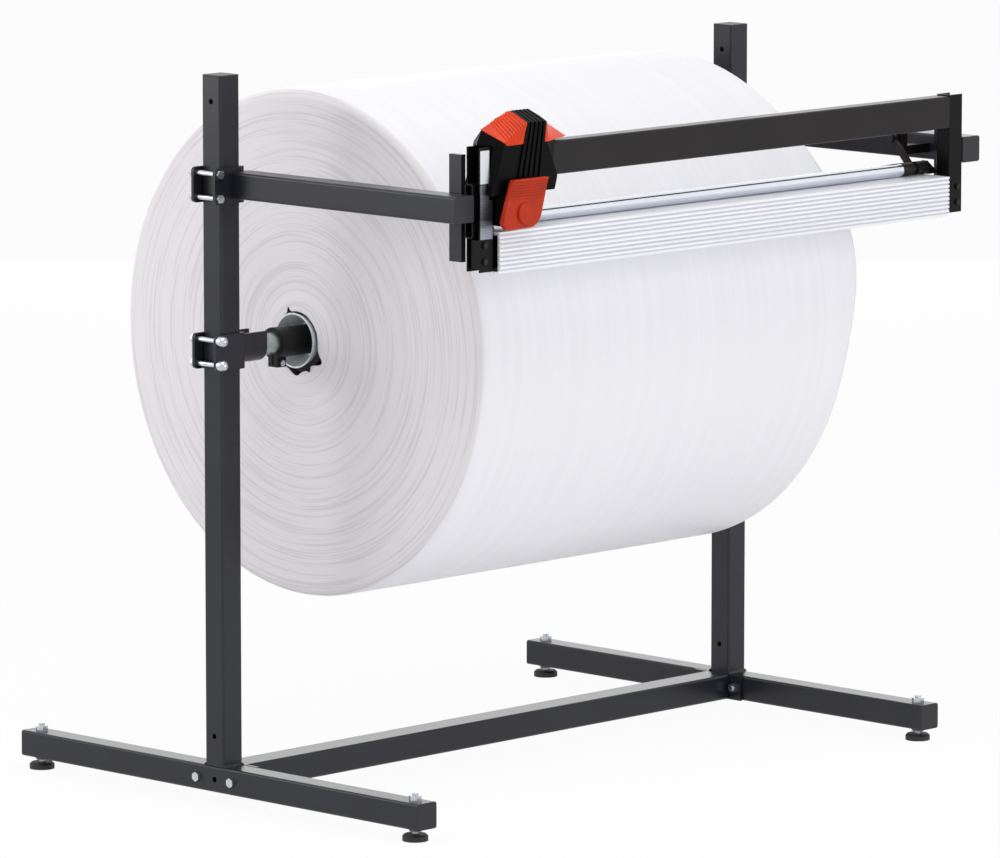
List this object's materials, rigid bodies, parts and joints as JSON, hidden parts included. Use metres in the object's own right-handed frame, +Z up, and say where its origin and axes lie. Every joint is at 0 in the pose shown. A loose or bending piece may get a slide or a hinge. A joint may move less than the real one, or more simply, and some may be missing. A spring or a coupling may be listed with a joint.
{
  "type": "gift wrap paper cutter",
  "caption": "Floor-standing roll stand with an axle in open cradles, a height-adjustable cutting beam, a hold-down bar and a sliding knife carriage.",
  "frame": {"origin": "on the floor, under the middle of the stand's box", "axes": "+X along the roll, towards its far end in the picture; -Y towards the operator; +Z up"},
  "size_m": [1.194, 0.963, 1.1015],
  "materials": {
    "frame_paint": "slate powder coat",
    "cutter_paint": "black-brown powder coat",
    "zinc": "galvanised steel",
    "axle_steel": "bare steel tube",
    "aluminium": "anodised, satin",
    "chrome": "polished",
    "black_plastic": "moulded black",
    "slate_plastic": "moulded slate",
    "orange_plastic": "moulded orange-red",
    "glide": "low-friction liner",
    "pad_plastic": "black foot pad",
    "cardboard": "wound board",
    "wrap": "white wrap, smooth",
    "blade_steel": "ground"
  },
  "bodies": {
    "stand": {"left_foot_tube": "frame_paint", "right_foot_tube": "frame_paint", "foot_end_caps": "slate_plastic", "left_upright": "frame_paint", "right_upright": "frame_paint", "upright_caps": "slate_plastic", "cross_beam": "frame_paint", "cross_beam_bolts": "zinc", "cross_beam_nuts": "zinc", "levelling_lock_nuts": "zinc", "levelling_top_nuts": "zinc"},
    "cradle_pair": {"left_cradle": "frame_paint", "left_cradle_bolts": "zinc", "left_cradle_nuts": "zinc", "right_cradle": "frame_paint", "right_cradle_bolts": "zinc", "right_cradle_nuts": "zinc"},
    "axle_set": {"axle": "axle_steel", "axle_collars": "black_plastic", "collar_screws": "zinc"},
    "roll": {"core_cones": "zinc", "bearing_hubs": "black_plastic", "cardboard_core": "cardboard", "wrap_roll": "wrap"},
    "cutter": {"left_arm": "frame_paint", "right_arm": "frame_paint", "arm_clamp_bolts": "zinc", "arm_clamp_nuts": "zinc", "arm_end_caps": "slate_plastic", "arm_plates": "frame_paint", "left_cheek": "cutter_paint", "right_cheek": "cutter_paint", "cheek_blocks": "cutter_paint", "guide_beam": "cutter_paint", "ribbed_rail": "aluminium", "rail_spigots": "cutter_paint", "rail_screws": "zinc", "bar_brackets": "cutter_paint", "bar_pins": "zinc"},
    "hold_down_bar": {"pressure_bar": "chrome", "bar_end_fittings": "black_plastic", "bar_levers": "cutter_paint"},
    "knife_carriage": {"carriage_shell": "black_plastic", "carriage_band": "black_plastic", "carriage_grips": "orange_plastic", "glide_shoes": "glide", "head_housing": "orange_plastic", "knife_holder": "black_plastic", "blade": "blade_steel"},
    "levelling_foot_front_left": {"levelling_pad_front_left": "pad_plastic", "levelling_stud_front_left": "zinc"},
    "levelling_foot_front_right": {"levelling_pad_front_right": "pad_plastic", "levelling_stud_front_right": "zinc"},
    "levelling_foot_back_left": {"levelling_pad_back_left": "pad_plastic", "levelling_stud_back_left": "zinc"},
    "levelling_foot_back_right": {"levelling_pad_back_right": "pad_plastic", "levelling_stud_back_right": "zinc"}
  },
  "joints": [
    {"name": "cradle_height", "type": "slide", "parent": "stand", "child": "cradle_pair", "axis": [0, 0, 1], "range_m": [-0.2, 0.06]},
    {"name": "axle_lift_out", "type": "slide", "parent": "cradle_pair", "child": "axle_set", "axis": [0, 0, 1], "range_m": [0, 0.15]},
    {"name": "roll_spin", "type": "hinge", "parent": "axle_set", "child": "roll", "pos_m": [0, 0.0515, 0.688], "axis": [1, 0, 0], "continuous": true},
    {"name": "cutter_height", "type": "slide", "parent": "stand", "child": "cutter", "axis": [0, 0, 1], "range_m": [-0.08, 0.1]},
    {"name": "hold_down_lift", "type": "hinge", "parent": "cutter", "child": "hold_down_bar", "pos_m": [0, -0.3605, 0.956], "axis": [-1, 0, 0], "range_deg": [0, 12]},
    {"name": "carriage_slide", "type": "slide", "parent": "cutter", "child": "knife_carriage", "axis": [1, 0, 0], "range_m": [0, 0.835]},
    {"name": "level_front_left", "type": "slide", "parent": "stand", "child": "levelling_foot_front_left", "axis": [0, 0, 1], "range_m": [-0.012, 0.0035]},
    {"name": "level_front_right", "type": "slide", "parent": "stand", "child": "levelling_foot_front_right", "axis": [0, 0, 1], "range_m": [-0.012, 0.0035]},
    {"name": "level_back_left", "type": "slide", "parent": "stand", "child": "levelling_foot_back_left", "axis": [0, 0, 1], "range_m": [-0.012, 0.0035]},
    {"name": "level_back_right", "type": "slide", "parent": "stand", "child": "levelling_foot_back_right", "axis": [0, 0, 1], "range_m": [-0.012, 0.0035]}
  ]
}
